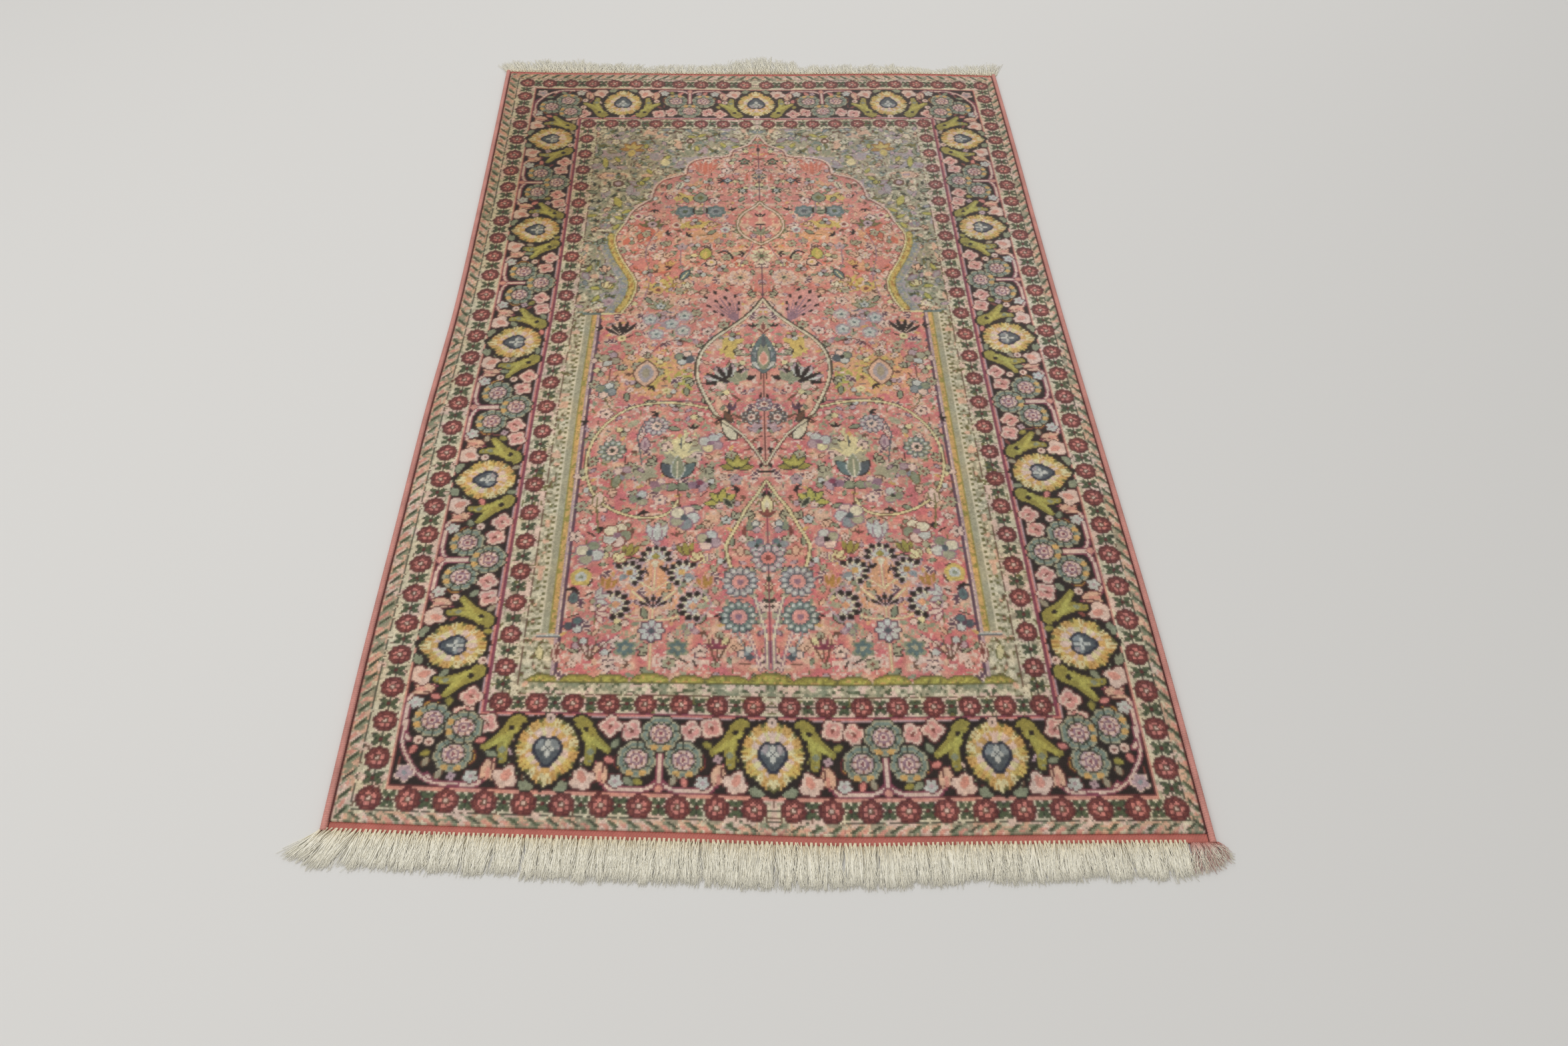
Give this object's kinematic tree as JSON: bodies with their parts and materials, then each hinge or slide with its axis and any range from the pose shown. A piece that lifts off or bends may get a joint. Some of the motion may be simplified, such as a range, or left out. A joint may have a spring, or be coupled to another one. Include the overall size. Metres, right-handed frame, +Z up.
{
  "type": "silk pile prayer rug",
  "caption": "Small hand-knotted silk pile rug with a niche design, laid flat: pile body, overcast side cords, flat woven end bands and cotton fringes at both ends",
  "frame": {"origin": "on the floor under the middle of the whole piece, fringes included", "axes": "+Z up out of the pile, +Y along the length towards the end with the arch, +X across the width"},
  "size_m": [0.7295, 1.2097, 0.0054],
  "materials": {
    "silk_pile": "cut silk pile, rose field with black and ivory borders, soft sheen",
    "selvedge_cord": "salmon red overcast yarn",
    "end_web": "salmon red flat weave with a twined edge",
    "fringe_cotton": "cream cotton warp ends, knotted and brushed",
    "loose_yarn": "loose pink, grey and white yarn"
  },
  "bodies": {
    "root": {"rug_body": "silk_pile", "selvedge_left": "selvedge_cord", "selvedge_right": "selvedge_cord", "end_web_front": "end_web", "end_web_back": "end_web", "fringe_front": "fringe_cotton", "fringe_back": "fringe_cotton", "corner_tuft": "loose_yarn"}
  },
  "joints": []
}
